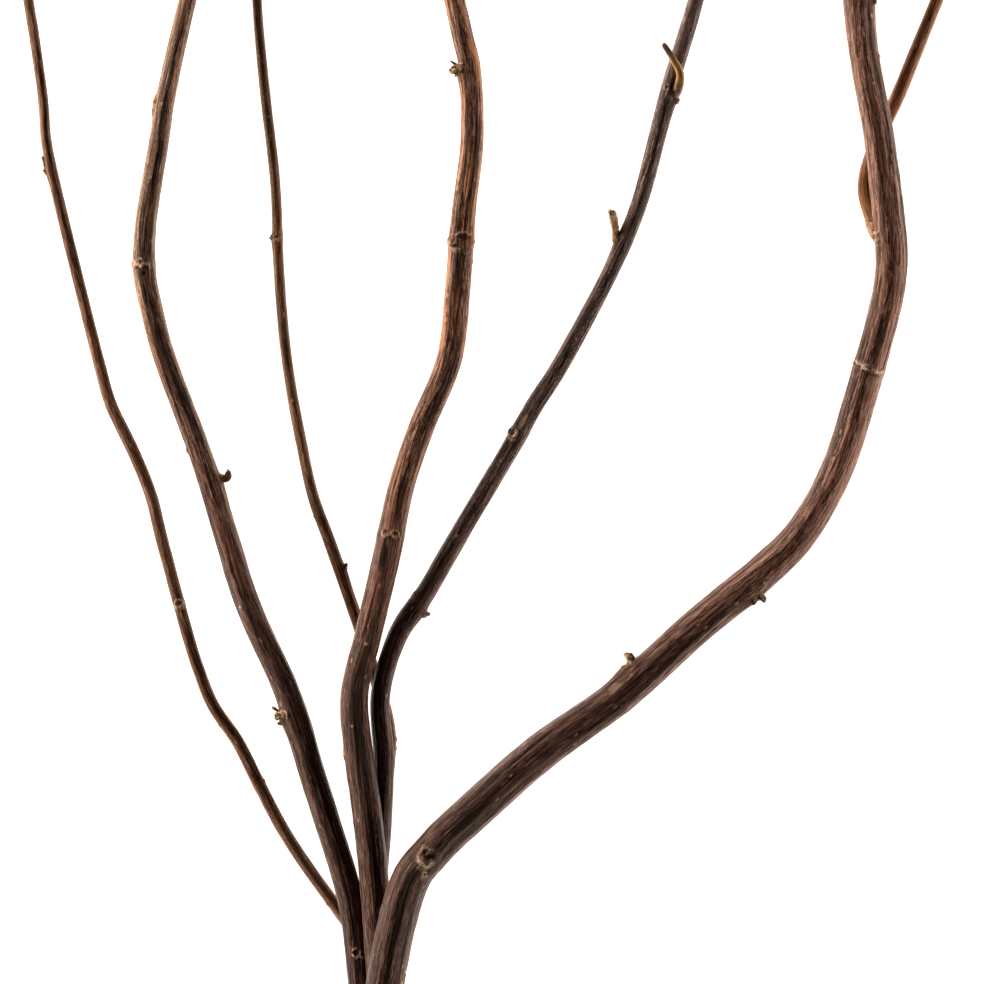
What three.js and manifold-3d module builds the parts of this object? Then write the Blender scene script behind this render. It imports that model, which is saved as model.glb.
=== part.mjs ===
// A bunch of six cut curly willow stems, laid down on a flat surface.
//
// Millimetres, +Z up. The surface is the plane z = 0. The thick cut ends (the butts) point to -Y,
// the thin tips point to +Y, and the origin is on the surface under the middle of the bunch.
// A stem is one piece of wood from butt to tip: its side shoots, snags, buds and knots are part
// of it. The stems cross and lean on each other near the butts and nothing ties them.

import * as THREE from 'three';
import { mergeVertices } from 'three/addons/utils/BufferGeometryUtils.js';
import Module from 'manifold-3d';

// ---- Driving dimensions -------------------------------------------------------------------

const RING_STEP = 11; // along a stem, between two rings of corners
const STEM_SIDES = 10; // corners around a thick stem
const THIN_SIDES = 8; // corners around a stem or shoot that is nowhere thicker than THIN
const THIN = 5;
const CUT_SLANT = 0.55; // how far a butt's cut leans, as rise over run
const SNAG_SIDES = 7;
const SNAG_TAPER = 0.72; // a snag's tip width over its base width
const KNOT_SIDES = 10;
const KNOT_BULGE = 1.09; // a knot's width over the stem's
const WELD = 1e-5; // corners closer than this are one corner
const UP = new THREE.Vector3(0, 0, 1);
const CYLINDER_AXIS = new THREE.Vector3(0, 1, 0);

// A course is the middle line of a stem or shoot from its thick end to its thin end. Each entry is
// [x, y, z, diameter]. A snag is the stub of a lost twig, a bud or a cut end that stands out of
// the bark: it sits where the stem passes y, on the side that the angle tells (0 is to the right,
// 90 is up, 180 is to the left), leans towards the tip by lean degrees and stands out by length.
// A knot is the swelling where a twig or leaf once grew.

const FORKED_STEM = {
  name: 'forked_stem',
  colour: 0x4a3226,
  course: [
    [-49, -354, 11, 12.7],
    [-43.4, -327, 16.4, 12.4],
    [-38.4, -299, 21.8, 12.2],
    [-34.7, -269, 24.2, 12],
    [-27.6, -238, 23.8, 11.9],
    [-18.6, -225, 22.2, 11.9],
    [-7, -214, 20, 12],
    [16, -194, 16.2, 11.9],
    [41.7, -175.8, 12.4, 11.6],
    [65, -155, 9, 11.2],
    [76.5, -145.4, 7.7, 11.1],
    [88, -136, 6.6, 10.9],
    [98.9, -125.4, 5.9, 10.5],
    [107.5, -112.5, 5.6, 10.2],
    [113.9, -98.7, 5.5, 10.1],
    [119, -82.5, 5.6, 10],
    [127, -53, 7.2, 10],
    [129.5, -38.5, 8.4, 10],
    [129, -24, 9.6, 10],
    [125.6, 5.4, 11, 9.5],
    [120.5, 34.6, 10, 9.5],
    [118.5, 63, 7.4, 9.2],
    [121, 92, 5, 8.6],
    [127, 120, 4.2, 8],
    [133, 148, 4.2, 7.4],
    [135, 177, 6, 6.7],
    [130, 206, 9, 6],
    [122, 234, 11, 5.2],
    [118, 263, 9.5, 4.4],
    [121, 292, 6, 3.6],
    [127, 323, 3.4, 2.6],
    [131, 358.5, 2.6, 1.4],
  ],
  shoots: [
    [
      [127.5, -36, 8.6, 5.6],
      [123, -23, 6.2, 5.4],
      [121.3, -10, 3.8, 4.9],
      [125.3, 4, 2.9, 4.7],
      [132.3, 19.3, 2.8, 4.6],
      [138.4, 34.3, 3.4, 4.4],
      [144.4, 49.2, 4.8, 4.1],
      [151, 66, 7, 3.7],
      [157, 84, 9, 3.3],
      [160, 104, 9.4, 2.8],
      [160, 125, 7.4, 2.3],
      [163, 146, 4.8, 1.8],
      [166, 168, 3.4, 1.2],
    ],
    [
      [132, 146, 5, 3.6],
      [124, 160, 7.6, 3],
      [115, 177, 9.4, 2.5],
      [109, 196, 8.6, 2.1],
      [108, 216, 5.4, 1.7],
      [104, 236, 3, 1.2],
    ],
    [
      [122, 232, 11, 3],
      [131, 247, 13, 2.5],
      [141, 263, 12.6, 2.1],
      [146, 282, 9, 1.7],
      [147, 302, 5, 1.2],
    ],
  ],
  snags: [
    { y: -169.5, angle: 140, lean: 8, width: 3.4, length: 3 },
    { y: -143.5, angle: -40, lean: -8, width: 2.8, length: 2.6 },
    { y: 49, angle: 12, lean: 60, width: 2.6, length: 1.8 },
    { y: 74, angle: 170, lean: 50, width: 2.6, length: 2.4 },
    { y: 178, angle: 20, lean: 55, width: 2.4, length: 2.4 },
  ],
  knots: [{ y: -228, size: 13.4 }, { y: -68, size: 10.8 }, { y: 148, size: 8.4 }],
};

const LEFT_STEM = {
  name: 'left_stem',
  colour: 0x55382a,
  course: [
    [-34.5, -355, 4.6, 8.8],
    [-37.3, -327, 4.5, 8.6],
    [-39.9, -298, 4.7, 8.5],
    [-42.6, -270, 6.2, 8.2],
    [-46, -242.5, 9.5, 8.2],
    [-54.4, -214, 9.2, 8.2],
    [-58.9, -199.7, 8.6, 8.2],
    [-63, -185, 7.8, 8.2],
    [-68.6, -170.1, 6.8, 8.1],
    [-75.6, -155.5, 5.8, 8],
    [-81.5, -140.9, 5, 8],
    [-86.1, -126, 4.4, 7.9],
    [-95.1, -97, 4.1, 7.4],
    [-105.9, -67.7, 5.2, 7.1],
    [-110, -53, 6.4, 7],
    [-112.8, -38.5, 7.8, 7],
    [-112.5, -23.9, 8.9, 6.9],
    [-110.4, -9.3, 9.6, 6.7],
    [-107.9, 5.3, 9.5, 6.6],
    [-105.7, 20, 8.8, 6.4],
    [-99.3, 49.2, 6, 5.7],
    [-92, 78, 3.8, 5.4],
    [-88, 108, 3.4, 5.1],
    [-90.5, 138, 5.4, 4.8],
    [-97.5, 167, 8.4, 4.4],
    [-102.5, 197, 9.6, 4],
    [-101, 228, 7.6, 3.5],
    [-95, 258, 4.6, 3],
    [-90, 288, 3, 2.5],
    [-90, 316, 4, 1.9],
    [-94, 343, 6, 1.3],
  ],
  shoots: [
    [
      [-90.5, 134, 5, 3],
      [-81, 148, 6.6, 2.6],
      [-76, 166, 8.4, 2.2],
      [-77, 186, 8.4, 1.8],
      [-82, 206, 6, 1.2],
    ],
    [
      [-101.5, 222, 8, 2.5],
      [-111, 237, 8.2, 2.2],
      [-118, 255, 6.4, 1.8],
      [-120, 276, 3.4, 1.2],
    ],
  ],
  snags: [
    { y: -180.5, angle: 165, lean: 0, width: 3, length: 2.6 },
    { y: -105.5, angle: 10, lean: 12, width: 3, length: 2.8 },
    { y: 17, angle: 175, lean: 40, width: 2.4, length: 1.6 },
    { y: -38, angle: 80, lean: 0, width: 3, length: 1.2 },
    { y: 96, angle: 10, lean: 55, width: 2.2, length: 2 },
  ],
  knots: [{ y: -37, size: 7.9 }, { y: -184, size: 8.8 }],
};

const LEFT_SLENDER_STEM = {
  name: 'left_slender_stem',
  colour: 0x4b2f20,
  course: [
    [-46, -251.6, 2.1, 4],
    [-61, -231, 2.2, 4],
    [-69.1, -218.2, 2.3, 4],
    [-76.3, -204.3, 2.8, 4.1],
    [-82.9, -191.1, 3.4, 4.1],
    [-90.8, -179.4, 4.2, 4],
    [-95.5, -167.7, 5, 3.9],
    [-99.3, -155.4, 5.8, 3.9],
    [-107.2, -126.2, 6.8, 3.9],
    [-111.2, -110.3, 6.8, 3.9],
    [-117.4, -95.2, 6.2, 3.9],
    [-123.9, -81.8, 5.1, 3.9],
    [-128, -67.7, 4, 3.8],
    [-135.5, -38.5, 2.4, 3.8],
    [-142.6, -9.2, 2.2, 3.8],
    [-145.3, 5.3, 2.5, 3.5],
    [-146.4, 20, 3.4, 3.4],
    [-150.6, 49.3, 5.8, 3.3],
    [-155.5, 77, 8, 3],
    [-161, 104, 8.4, 2.7],
    [-164.5, 131, 6.4, 2.4],
    [-163, 158, 3.6, 2.1],
    [-159, 185, 2, 1.8],
    [-160, 212, 2.6, 1.5],
    [-164.5, 238, 4.4, 1.1],
  ],
  shoots: [],
  snags: [
    { y: -3, angle: 170, lean: 35, width: 1.6, length: 1.8 },
    { y: -146.5, angle: 85, lean: 40, width: 2, length: 1 },
    { y: -183, angle: 10, lean: 40, width: 1.8, length: 0.9 },
    { y: -243, angle: 190, lean: 20, width: 1.8, length: 1.2 },
    { y: 118, angle: 160, lean: 60, width: 1.5, length: 1.6 },
  ],
  knots: [{ y: -146, size: 4.5 }],
};

const MIDDLE_SLENDER_STEM = {
  name: 'middle_slender_stem',
  colour: 0x49301f,
  course: [
    [-35.3, -225, 2.2, 4.1],
    [-34.3, -207, 2.2, 4.1],
    [-33.4, -188, 2.2, 4.1],
    [-38.4, -169, 2.2, 3.9],
    [-44.6, -150, 2.2, 3.8],
    [-52.8, -126.5, 3, 3.7],
    [-57.9, -112.3, 4, 3.5],
    [-61.4, -97, 5, 3.4],
    [-66.6, -68, 6.6, 3.4],
    [-69.3, -38.5, 6.8, 3.5],
    [-70.6, -9.3, 5, 3.3],
    [-73.9, 20, 2.8, 3.2],
    [-76.5, 49.2, 1.8, 3],
    [-76.5, 78, 2.8, 2.7],
    [-72, 106, 4.8, 2.4],
    [-65, 132, 5.6, 2.1],
    [-60, 158, 4.2, 1.8],
    [-60, 184, 2, 1.5],
    [-63.5, 209, 2.4, 1.1],
  ],
  shoots: [],
  snags: [
    { y: -136, angle: 0, lean: 45, width: 1.9, length: 1.4 },
    { y: -117, angle: 180, lean: 60, width: 1.6, length: 0.8 },
    { y: -27, angle: 60, lean: 40, width: 1.8, length: 0.7 },
    { y: 92, angle: 15, lean: 60, width: 1.5, length: 1.6 },
  ],
  knots: [{ y: -27, size: 4 }],
};

const MIDDLE_STEM = {
  name: 'middle_stem',
  colour: 0x6b4329,
  course: [
    [-16, -352, 5.8, 9.8],
    [-23.4, -326, 11, 9.6],
    [-30.4, -298, 12.8, 9.4],
    [-35.7, -268, 12.9, 9.2],
    [-37.7, -241, 14.9, 9.2],
    [-40.2, -216, 15.6, 9.2],
    [-43.2, -194, 12.2, 9.2],
    [-44.4, -175.5, 11, 8.7],
    [-40.2, -156.5, 8.8, 8.8],
    [-35, -134, 6.4, 8.8],
    [-30.4, -111.5, 4.8, 8.4],
    [-26.9, -99.6, 4.6, 8.4],
    [-22.6, -88, 4.5, 8.4],
    [-13.8, -66.5, 5.2, 8.2],
    [-11, -43, 6.8, 8],
    [-9.1, -19, 8.2, 7.7],
    [-6.5, 4, 8.8, 7.5],
    [-7, 26, 8, 7.4],
    [-9.4, 37.5, 7.2, 7.2],
    [-12, 49.3, 6.2, 7],
    [-17.4, 74, 4.4, 6.7],
    [-22.4, 100, 3.8, 6.2],
    [-24.4, 127, 4.6, 5.8],
    [-21, 153, 6.8, 5.4],
    [-14.5, 178, 8.8, 4.9],
    [-11, 204, 9, 4.4],
    [-13.5, 231, 7, 3.9],
    [-19, 257, 4.2, 3.4],
    [-23, 284, 2.6, 2.8],
    [-22, 310, 3.2, 2.1],
    [-17, 335, 5, 1.4],
  ],
  shoots: [
    [
      [-24.3, 122, 4.6, 3.4],
      [-34, 136, 5.8, 2.9],
      [-41, 154, 7.6, 2.5],
      [-43, 175, 8, 2.1],
      [-40, 196, 5.8, 1.7],
      [-41, 217, 3, 1.2],
    ],
    [
      [-12, 222, 7.8, 2.8],
      [-3, 236, 9.2, 2.4],
      [5, 252, 9, 2],
      [8, 271, 6, 1.6],
      [7, 290, 3, 1.1],
    ],
  ],
  snags: [
    { y: 28, angle: 165, lean: 0, width: 3.4, length: 3 },
    { y: -195, angle: 178, lean: -30, width: 2.8, length: 1.6 },
    { y: -27, angle: 100, lean: 30, width: 3.4, length: 1.6 },
    { y: -31.5, angle: 5, lean: 30, width: 2.4, length: 1.2 },
    { y: 88, angle: 5, lean: 55, width: 2.4, length: 2.2 },
  ],
  knots: [{ y: -28, size: 9 }, { y: -124, size: 9.4 }],
};

const GREY_STEM = {
  name: 'grey_stem',
  colour: 0x3b302c,
  course: [
    [-25.4, -353, 3.6, 6.9],
    [-28.6, -326, 3.6, 6.8],
    [-31.6, -298, 3.6, 6.7],
    [-34.8, -270, 3.7, 6.5],
    [-37.4, -243, 5.6, 6.5],
    [-35.9, -219, 8.4, 6.5],
    [-35.1, -197, 8.2, 6.5],
    [-36.2, -176, 7.8, 6.3],
    [-30.4, -156.2, 6, 6.3],
    [-21.2, -142.2, 5, 6.2],
    [-12, -126.2, 4.1, 6],
    [5.2, -97, 3.2, 5.9],
    [13.7, -82, 3.1, 5.7],
    [22.8, -67.7, 3.2, 5.5],
    [38.3, -38.7, 5, 5.3],
    [44.7, -24.4, 6.3, 5.3],
    [49.7, -10, 7.6, 5.3],
    [57.4, 20, 9, 5.3],
    [66.1, 49.2, 7.6, 5.1],
    [73.5, 77, 4.6, 4.7],
    [78.5, 105, 2.7, 4.3],
    [79, 133, 3.2, 3.9],
    [75, 161, 5.8, 3.4],
    [72.5, 189, 7.4, 2.9],
    [75, 217, 5.8, 2.4],
    [80.5, 244, 3, 1.9],
    [83, 271, 2.6, 1.3],
  ],
  shoots: [
    [
      [79, 126, 3.4, 2.5],
      [87, 140, 5, 2.2],
      [92.5, 158, 6.4, 1.8],
      [93.5, 178, 5, 1.2],
    ],
    [
      [60.3, 22.6, 10.4, 2.6],
      [60.6, 26.8, 12.8, 2.4],
      [57.6, 31.6, 14, 2.1],
      [55.4, 35.6, 14.4, 1.8],
    ],
  ],
  snags: [
    { y: -27, angle: 172, lean: 62, width: 2.4, length: 8.4 },
    { y: -146.5, angle: -10, lean: -20, width: 2.6, length: 1.4 },
    { y: -145, angle: 170, lean: 30, width: 2.2, length: 0.9 },
    { y: 19, angle: -5, lean: -10, width: 2.6, length: 1.8 },
    { y: -91, angle: 110, lean: 20, width: 2.8, length: 1 },
  ],
  knots: [{ y: -91, size: 6.7 }, { y: -147, size: 6.8 }],
};

const STEMS = [
  FORKED_STEM,
  LEFT_STEM,
  LEFT_SLENDER_STEM,
  MIDDLE_SLENDER_STEM,
  MIDDLE_STEM,
  GREY_STEM,
];

// ---- Solids ---------------------------------------------------------------------------------

const wasm = await Module();
wasm.setup();

// A closed three.js geometry as a solid that can be joined to others.
function toSolid(geometry) {
  const bare = geometry.clone();
  bare.deleteAttribute('normal');
  bare.deleteAttribute('uv');
  const merged = mergeVertices(bare, WELD);
  const mesh = new wasm.Mesh({
    numProp: 3,
    vertProperties: new Float32Array(merged.attributes.position.array),
    triVerts: new Uint32Array(merged.index.array),
  });
  return new wasm.Manifold(mesh);
}

function toGeometry(solid) {
  const { vertProperties, triVerts } = solid.getMesh();
  const geometry = new THREE.BufferGeometry();
  geometry.setAttribute('position', new THREE.BufferAttribute(vertProperties, 3));
  geometry.setIndex(new THREE.BufferAttribute(triVerts, 1));
  geometry.computeVertexNormals();
  return geometry;
}

// ---- Courses --------------------------------------------------------------------------------

// The middle line of a course, and the diameter along it, as two curves with one parameter.
function readCourse(course) {
  const line = course.map(([x, y, z]) => new THREE.Vector3(x, y, z));
  const widths = course.map(([, , , diameter]) => new THREE.Vector3(diameter, 0, 0));
  return {
    line: new THREE.CatmullRomCurve3(line, false, 'catmullrom'),
    widths: new THREE.CatmullRomCurve3(widths, false, 'catmullrom'),
  };
}

// Where a stem passes a given y: the point, the way it runs there and its diameter.
function passes(curves, y) {
  let low = 0;
  let high = 1;
  while (high - low > 1e-6) {
    const middle = (low + high) / 2;
    if (curves.line.getPoint(middle).y < y) {
      low = middle;
    } else {
      high = middle;
    }
  }
  return {
    point: curves.line.getPoint(low),
    along: curves.line.getTangent(low),
    diameter: curves.widths.getPoint(low).x,
  };
}

// ---- Shapes ---------------------------------------------------------------------------------

// A cylinder bent along a course and tapered as its diameters say, with the first cap slanted.
function bendAlong(course, slant) {
  const { line, widths } = readCourse(course);
  const widest = Math.max(...course.map(([, , , diameter]) => diameter));
  const sides = widest > THIN ? STEM_SIDES : THIN_SIDES;
  const steps = Math.ceil(line.getLength() / RING_STEP);
  const frames = line.computeFrenetFrames(steps, false);
  const geometry = new THREE.CylinderGeometry(1, 1, 1, sides, steps);
  const corners = geometry.attributes.position;
  for (let i = 0; i < corners.count; i++) {
    const ring = Math.round((corners.getY(i) + 0.5) * steps);
    const u = ring / steps;
    const radius = widths.getPoint(line.getUtoTmapping(u)).x / 2;
    const across = corners.getX(i) * radius;
    const corner = line.getPointAt(u);
    corner.addScaledVector(frames.normals[ring], across);
    corner.addScaledVector(frames.binormals[ring], -corners.getZ(i) * radius);
    if (ring === 0) {
      corner.addScaledVector(frames.tangents[ring], across * slant);
    }
    corners.setXYZ(i, corner.x, corner.y, corner.z);
  }
  return geometry;
}

// The unit vectors to the right of a stem and up from it, square to the way it runs.
function sidesOf(along) {
  const right = new THREE.Vector3().crossVectors(along, UP).normalize();
  const up = new THREE.Vector3().crossVectors(right, along).normalize();
  return { right, up };
}

function snagShape(curves, { y, angle, lean, width, length }) {
  const { point, along, diameter } = passes(curves, y);
  const { right, up } = sidesOf(along);
  const turn = THREE.MathUtils.degToRad(angle);
  const tilt = THREE.MathUtils.degToRad(lean);
  const out = right.multiplyScalar(Math.cos(turn)).addScaledVector(up, Math.sin(turn));
  const axis = out.clone().multiplyScalar(Math.cos(tilt)).addScaledVector(along, Math.sin(tilt));
  const depth = diameter / 4;
  const whole = length + depth;
  const shape = new THREE.CylinderGeometry(width * SNAG_TAPER / 2, width / 2, whole, SNAG_SIDES);
  shape.translate(0, whole / 2 - depth, 0);
  shape.applyQuaternion(new THREE.Quaternion().setFromUnitVectors(CYLINDER_AXIS, axis));
  const root = point.addScaledVector(out, diameter / 2);
  return shape.translate(root.x, root.y, root.z);
}

function knotShape(curves, { y, size }) {
  const { point, along } = passes(curves, y);
  const shape = new THREE.SphereGeometry(size / 2, KNOT_SIDES, KNOT_SIDES / 2);
  shape.scale(1, KNOT_BULGE, 1);
  shape.applyQuaternion(new THREE.Quaternion().setFromUnitVectors(CYLINDER_AXIS, along));
  return shape.translate(point.x, point.y, point.z);
}

// ---- The bunch ------------------------------------------------------------------------------

function buildStem({ name, colour, course, shoots, snags, knots }) {
  const curves = readCourse(course);
  let solid = toSolid(bendAlong(course, CUT_SLANT));
  for (const shoot of shoots) {
    solid = solid.add(toSolid(bendAlong(shoot, 0)));
  }
  for (const snag of snags) {
    solid = solid.add(toSolid(snagShape(curves, snag)));
  }
  for (const knot of knots) {
    solid = solid.add(toSolid(knotShape(curves, knot)));
  }
  const bark = new THREE.MeshStandardMaterial({ color: colour, roughness: 0.85, metalness: 0 });
  const stem = new THREE.Mesh(toGeometry(solid), bark);
  stem.name = name;
  return stem;
}

const bunch = new THREE.Group();
bunch.name = 'willow_stems';
for (const stem of STEMS) {
  bunch.add(buildStem(stem));
}

export default bunch;
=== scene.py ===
"""A bunch of six cut curly willow stems, lying on a pale table and seen from above."""

from collections import namedtuple
from math import atan2, cos, degrees, exp, hypot, pi, radians, sin

import bmesh
import bpy
import numpy as np
from mathutils import Matrix, Vector, noise


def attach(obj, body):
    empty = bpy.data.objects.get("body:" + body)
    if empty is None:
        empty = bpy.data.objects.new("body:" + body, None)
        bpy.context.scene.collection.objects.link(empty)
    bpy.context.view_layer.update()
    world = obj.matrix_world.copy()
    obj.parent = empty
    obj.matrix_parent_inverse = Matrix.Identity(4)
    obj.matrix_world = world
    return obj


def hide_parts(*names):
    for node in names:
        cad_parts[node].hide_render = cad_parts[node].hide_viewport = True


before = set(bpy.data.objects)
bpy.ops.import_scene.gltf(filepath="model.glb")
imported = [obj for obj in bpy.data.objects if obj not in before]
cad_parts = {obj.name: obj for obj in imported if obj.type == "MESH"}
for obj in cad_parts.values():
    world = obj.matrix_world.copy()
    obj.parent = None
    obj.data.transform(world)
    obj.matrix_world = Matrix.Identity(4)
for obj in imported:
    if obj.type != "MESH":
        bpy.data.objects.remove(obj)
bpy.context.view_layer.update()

# ---- Sizes, in millimetres unless a name says otherwise ----

MM = 0.001  # metres in a millimetre
STEP = 1.8  # along a stem, between two rings of corners
FINE_STEP = 0.34  # the same, beside a feature of the bark
RING_REACH = 4  # how far each way a node's ring has the fine step
FINE_REACH = 5  # the furthest that any other feature has it
SHOOT_STEP = 0.95  # along a side shoot, between two rings of corners
STUB_SIDES = 20
BUD_SIDES = 10
CUT_ZONE = 14  # length of stem that the slanted cut shears
CUT_SLANT = 0.55  # how far a butt's cut leans, as rise over run
BARK_SHARE = 0.9  # the bare wood's width over the stem's, at a cut
FULL_SHADE_DEPTH = 0.32  # a pit of this depth or more gets the full painted shade
BUD_LENGTH = 4.2
TIP_BUD = 5.5  # length of the bud that ends a stem or shoot
FIRST_BUD = 62  # the y from which a stem bears buds
BUD_GAP = 27  # along a stem, between two buds
FIRST_SHOOT_BUD = 58  # the y from which a side shoot bears buds
BARE_BASE = 26  # length of every side shoot that bears none
SHOOT_BUD_GAP = 19
BARE_TIP = 12  # length before the bud at the tip that bears none
BUD_TURN = 144  # degrees that each bud is turned on from the last
YOUNG_START = 420  # how far from the root a shoot's or slender stem's wood starts
YOUNG_HALF = 2.6  # the half width under which a stem's skin begins to look young
SHOOT_YOUTH = 0.9  # how young the skin of shoots and buds looks, from 0 to 1
STUB_YOUTH = 0.2
BUD_OCHRE = 0.35  # how ochre a bud looks, from 0 to 1
UP = Vector((0, 0, 1))

# A course is the middle line of a stem or shoot from its thick end to its thin end, as rows of
# x, y, z and diameter. Features lie where the stem passes y, on the side that the angle tells:
# 0 is to the right, 90 is up and 180 is to the left.

# What is left of a lost twig. It leans towards the tip by lean degrees and may be hooked. ochre
# is how ochre its skin is.
Stub = namedtuple("Stub", "y angle lean width length ochre hook", defaults=(0.5, 0))
# The swollen band round a node, with its two raised lips. A gate over 0 keeps more of the lips on
# its upper side and a gate under 0 on its lower side.
Ring = namedtuple("Ring", "y height spread gate")
# A round scar: lips round a hollow, as a twig or a leaf leaves behind.
Scar = namedtuple("Scar", "y angle size")
# What a snapped-off branch leaves: a crater with thick lips and torn wood inside.
Knot = namedtuple("Knot", "y angle size")
# A pale pore or a small wart.
Dot = namedtuple("Dot", "y angle size")
# A curved lip of bark on part of a circle. Its ends are turns from the right, tip upwards.
Fold = namedtuple("Fold", "y angle radius start end width pale")
# A hollow, darkened with painted shade that grows with its depth.
Pit = namedtuple("Pit", "y angle across along depth")
# A long streak on the bark: pale where its shade is over 0 and dark where it is under.
# Dark streaks are painted shade along the tops of stems, long pale ones painted highlight along
# their sides and short pale ones pale marks of the bark.
Streak = namedtuple("Streak", "y angle across along shade")
# A side shoot: its course, how ochre its skin is, the corners round it and whether a bud ends it.
Shoot = namedtuple("Shoot", "course ochre sides bud", defaults=(0.2, 26, True))
# A stem: the node it replaces, its bark, the corners round it, its course, features and shoots.
Stem = namedtuple("Stem", "node bark sides course marks shoots", defaults=((),))

FORKED_COURSE = [
    (-49, -354, 11, 12.7), (-43.4, -327, 16.4, 12.4), (-38.4, -299, 21.8, 12.2),
    (-34.7, -269, 24.2, 12), (-27.6, -238, 23.8, 11.9), (-18.6, -225, 22.2, 11.9),
    (-7, -214, 20, 12), (16, -194, 16.2, 11.9), (41.7, -175.8, 12.4, 11.6),
    (65, -155, 9, 11.2), (76.5, -145.4, 7.7, 11.1), (88, -136, 6.6, 10.9),
    (98.9, -125.4, 5.9, 10.5), (107.5, -112.5, 5.6, 10.2), (113.9, -98.7, 5.5, 10.1),
    (119, -82.5, 5.6, 10), (127, -53, 7.2, 10), (129.5, -38.5, 8.4, 10),
    (129, -24, 9.6, 10), (125.6, 5.4, 11, 9.5), (120.5, 34.6, 10, 9.5),
    (118.5, 63, 7.4, 9.2), (121, 92, 5, 8.6), (127, 120, 4.2, 8),
    (133, 148, 4.2, 7.4), (135, 177, 6, 6.7), (130, 206, 9, 6),
    (122, 234, 11, 5.2), (118, 263, 9.5, 4.4), (121, 292, 6, 3.6),
    (127, 323, 3.4, 2.6), (131, 358.5, 2.6, 1.4),
]

FORKED_SHOOTS = [
    Shoot([
        (128.2, -31, 9.2, 5), (124, -21.5, 6.4, 5.2), (121.5, -10, 3.8, 4.9),
        (125.3, 4, 2.9, 4.7), (132.3, 19.3, 2.8, 4.6), (138.4, 34.3, 3.4, 4.4),
        (144.4, 49.2, 4.8, 4.1), (151, 66, 7, 3.7), (157, 84, 9, 3.3),
        (160, 104, 9.4, 2.8), (160, 125, 7.4, 2.3), (163, 146, 4.8, 1.8),
        (166, 168, 3.4, 1.2),
    ], 0.12, 34),
    Shoot([
        (132, 146, 5, 3.6), (124, 160, 7.6, 3), (115, 177, 9.4, 2.5),
        (109, 196, 8.6, 2.1), (108, 216, 5.4, 1.7), (104, 236, 3, 1.2),
    ]),
    Shoot([
        (122, 232, 11, 3), (131, 247, 13, 2.5), (141, 263, 12.6, 2.1),
        (146, 282, 9, 1.7), (147, 302, 5, 1.2),
    ]),
]

FORKED_MARKS = [
    # Its dark streaks are painted shade along the stem's top.
    Streak(-214, 84, 3.4, 26, -0.75), Streak(-245, 84, 3.8, 24, -0.7),
    Streak(-176, 120, 2.4, 7, 0.45), Streak(-75, 78, 1.2, 9, 0.4),
    Streak(-61, 84, 4, 15, -0.65), Streak(-79, 100, 1, 12, -0.7),
    Stub(-169.6, 164, 24, 3.4, 2.6, 0.6), Stub(-171.8, 168, -20, 2.4, 0.8, 0.2),
    Stub(-139.8, 20, 20, 2.8, 1.9, 0.15), Stub(-141.4, 30, -10, 2.2, 1.3, 0.1),
    Stub(49, 12, 60, 2.6, 1.8, 0.1), Stub(74, 170, 50, 2.6, 2.4, 0.3),
    Stub(178, 20, 55, 2.4, 2.4, 0.3),
    Ring(-69.5, 0.3, 2.2, -0.2), Ring(148, 0.5, 2.6, 0.1),
    Ring(234, 0.35, 2, 0.1),
    Knot(-227.8, 85, 5.6),
    Scar(104, 60, 3),
    Fold(-228, 85, 3.1, 150, 300, 0.45, 0.5), Fold(-231.9, 60, 0.85, 60, 380, 0.3, 0.7),
    Fold(-63.4, 116, 6, 242, 292, 0.36, 1), Fold(-76, 84, 6.2, 66, 112, 0.36, 1),
    Fold(-67, 58, 3.4, 225, 318, 0.32, 1), Fold(-73, 100, 3, 55, 115, 0.26, 0.8),
    Fold(-23, 158, 2.6, 190, 320, 0.4, 0.5), Fold(-25.2, 166, 3, 200, 310, 0.4, 0.4),
    Dot(43.7, 44, 1.4), Dot(22, 78, 1.2), Dot(30.6, 8, 1.5),
    Dot(-100, 120, 0.9), Dot(-137.5, 60, 1.1), Dot(-187, 70, 0.9),
    Dot(-263.7, 20, 1.5), Dot(-267.2, 30, 1.2),
    Pit(-231.9, 60, 0.8, 0.8, 0.15), Pit(-70.9, 108, 3.2, 0.6, 0.3),
    Pit(-71.3, 66, 3, 0.6, 0.3), Pit(-248, 108, 1.1, 1.3, 0.2),
]

LEFT_COURSE = [
    (-34.5, -355, 4.6, 8.8), (-37.3, -327, 4.5, 8.6), (-39.9, -298, 4.7, 8.5),
    (-42.6, -270, 6.2, 8.2), (-46, -242.5, 9.5, 8.2), (-54.4, -214, 9.2, 8.2),
    (-58.9, -199.7, 8.6, 8.2), (-63, -185, 7.8, 8.2), (-68.6, -170.1, 6.8, 8.1),
    (-75.6, -155.5, 5.8, 8), (-81.5, -140.9, 5, 8), (-86.1, -126, 4.4, 7.9),
    (-95.1, -97, 4.1, 7.4), (-105.9, -67.7, 5.2, 7.1), (-110, -53, 6.4, 7),
    (-112.8, -38.5, 7.8, 7), (-112.5, -23.9, 8.9, 6.9), (-110.4, -9.3, 9.6, 6.7),
    (-107.9, 5.3, 9.5, 6.6), (-105.7, 20, 8.8, 6.4), (-99.3, 49.2, 6, 5.7),
    (-92, 78, 3.8, 5.4), (-88, 108, 3.4, 5.1), (-90.5, 138, 5.4, 4.8),
    (-97.5, 167, 8.4, 4.4), (-102.5, 197, 9.6, 4), (-101, 228, 7.6, 3.5),
    (-95, 258, 4.6, 3), (-90, 288, 3, 2.5), (-90, 316, 4, 1.9),
    (-94, 343, 6, 1.3),
]

LEFT_SHOOTS = [
    Shoot([
        (-90.5, 134, 5, 3), (-81, 148, 6.6, 2.6), (-76, 166, 8.4, 2.2),
        (-77, 186, 8.4, 1.8), (-82, 206, 6, 1.2),
    ]),
    Shoot([
        (-101.5, 222, 8, 2.5), (-111, 237, 8.2, 2.2), (-118, 255, 6.4, 1.8),
        (-120, 276, 3.4, 1.2),
    ]),
]

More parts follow.
